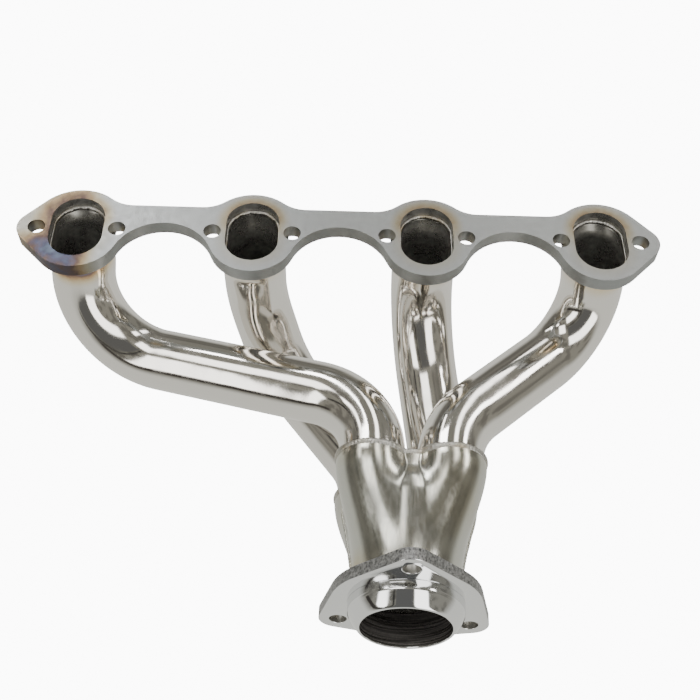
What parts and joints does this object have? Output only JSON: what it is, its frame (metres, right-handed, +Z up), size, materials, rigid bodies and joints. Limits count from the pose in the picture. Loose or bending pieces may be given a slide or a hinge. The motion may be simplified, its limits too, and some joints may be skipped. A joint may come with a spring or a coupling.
{
  "type": "exhaust manifold",
  "caption": "Shorty tubular exhaust header: thick head flange with scalloped edges, polished round primaries bending down into a lobed collector with a ball and three-bolt outlet plate.",
  "frame": {"origin": "middle of the head flange's mating face, on the line of the bolt holes, halfway between the end holes", "axes": "+X along the row of ports from port 1 to port 4, -Y out of the mating face towards the cylinder head, +Z up; the outlet points down"},
  "size_m": [0.4096, 0.1401, 0.2611],
  "materials": {
    "flange_steel": "matt light grey steel with straw and blue heat tint near the welds",
    "tube_polished": "mirror-polished stainless steel",
    "collector_brushed": "satin-polished stainless steel with brushed streaks along the gas flow",
    "weld_steel": "rippled weld bead, partly ground, with brown heat tint",
    "outlet_plated": "bright plated steel, turned on the ball and face, hammered on the plate's side edge"
  },
  "bodies": {
    "root": {"head_flange": "flange_steel", "primary_tube_1": "tube_polished", "primary_tube_2": "tube_polished", "primary_tube_3": "tube_polished", "primary_tube_4": "tube_polished", "port_weld_outer_1": "weld_steel", "port_weld_outer_2": "weld_steel", "port_weld_outer_3": "weld_steel", "port_weld_outer_4": "weld_steel", "port_weld_inner_1": "weld_steel", "port_weld_inner_2": "weld_steel", "port_weld_inner_3": "weld_steel", "port_weld_inner_4": "weld_steel", "collector_front_half": "collector_brushed", "collector_rear_half": "collector_brushed", "collector_seam_weld_left": "weld_steel", "collector_seam_weld_right": "weld_steel", "collector_rim_weld": "weld_steel", "merge_plate": "collector_brushed", "outlet_plate": "outlet_plated", "ball_seat": "outlet_plated", "outlet_neck_weld": "weld_steel"}
  },
  "joints": []
}
